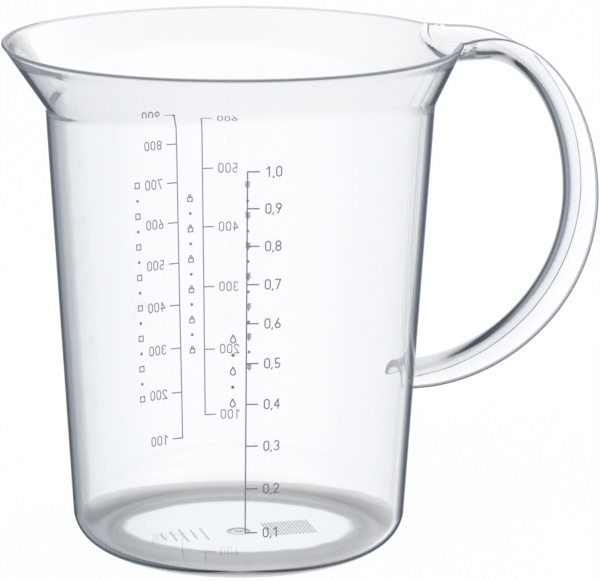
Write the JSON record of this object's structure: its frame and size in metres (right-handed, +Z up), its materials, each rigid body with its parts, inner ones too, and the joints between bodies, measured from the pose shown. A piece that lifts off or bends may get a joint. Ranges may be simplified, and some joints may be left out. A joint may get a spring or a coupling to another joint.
{
  "type": "measuring jug",
  "caption": "Clear one-litre kitchen measuring jug with a flared rim, a broad spout, an open-channel loop handle and printed scales.",
  "frame": {"origin": "on the table plane, under the middle of the whole jug's outline, spout and handle included; the barrel's own axis stands 19.72 mm towards -X", "axes": "+Z up, +X towards the handle, -X towards the spout"},
  "size_m": [0.1798, 0.1312, 0.152],
  "materials": {
    "clear_plastic": "clear, colourless moulded plastic, high gloss",
    "printing_ink": "thin screen-printed film, dark grey"
  },
  "bodies": {
    "root": {"barrel": "clear_plastic", "rim_collar": "clear_plastic", "handle": "clear_plastic", "base_relief_lines": "clear_plastic", "base_relief_patch": "clear_plastic", "litre_line": "printing_ink", "litre_ticks": "printing_ink", "litre_numerals": "printing_ink", "litre_drops": "printing_ink", "sugar_line": "printing_ink", "sugar_ticks": "printing_ink", "sugar_numerals": "printing_ink", "sugar_cubes": "printing_ink", "flour_line": "printing_ink", "flour_ticks": "printing_ink", "flour_numerals": "printing_ink", "flour_ears": "printing_ink", "gram_weights": "printing_ink", "litre_dots": "printing_ink", "sugar_dots": "printing_ink", "flour_dots": "printing_ink", "gram_dots": "printing_ink"}
  },
  "joints": []
}
